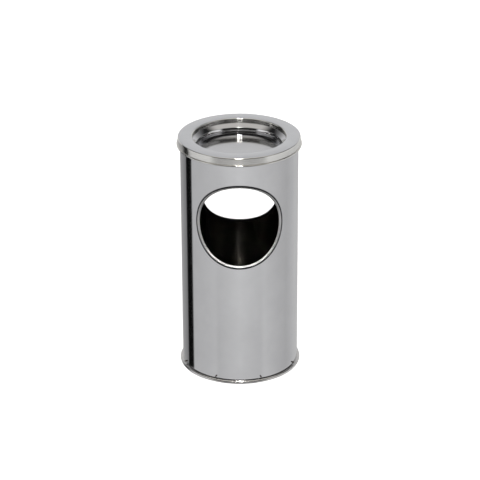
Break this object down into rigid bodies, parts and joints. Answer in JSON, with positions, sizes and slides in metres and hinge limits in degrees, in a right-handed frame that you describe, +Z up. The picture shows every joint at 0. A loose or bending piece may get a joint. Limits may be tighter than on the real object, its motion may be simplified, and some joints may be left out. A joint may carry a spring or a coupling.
{
  "type": "ash bin",
  "caption": "Free-standing cylindrical stainless ash bin with round throw-in holes front and rear, a lift-out ash dish and a lift-off lid ring.",
  "frame": {"origin": "on the floor, at the centre of the base ring", "axes": "+Z up along the shell's axis; front hole towards -Y, rear hole towards +Y; +X to the right seen from the front"},
  "size_m": [0.254, 0.254, 0.502],
  "materials": {
    "polished_shell": "semi-mirror polished stainless sheet",
    "plain_sheet": "mill finish stainless sheet",
    "bright_trim": "bright rounded edging",
    "bright_bead": "polished rolled bead",
    "dark_rivet": "dull, stained rivet heads",
    "polished_dish": "mirror polished pressed dish",
    "brushed_ring": "satin, grained round the ring"
  },
  "bodies": {
    "bin_body": {"body_shell": "polished_shell", "seam_strip": "plain_sheet", "opening_trim_front": "bright_trim", "opening_trim_rear": "bright_trim", "base_ring": "bright_bead", "base_floor": "plain_sheet", "base_rivets": "dark_rivet"},
    "dish": {"ash_dish": "polished_dish"},
    "ring": {"lid_ring": "brushed_ring"}
  },
  "joints": [
    {"name": "ash_dish_lift", "type": "slide", "parent": "bin_body", "child": "dish", "axis": [0, 0, 1], "range_m": [0, 0.15]},
    {"name": "lid_ring_lift", "type": "slide", "parent": "dish", "child": "ring", "axis": [0, 0, 1], "range_m": [0, 0.1]}
  ]
}
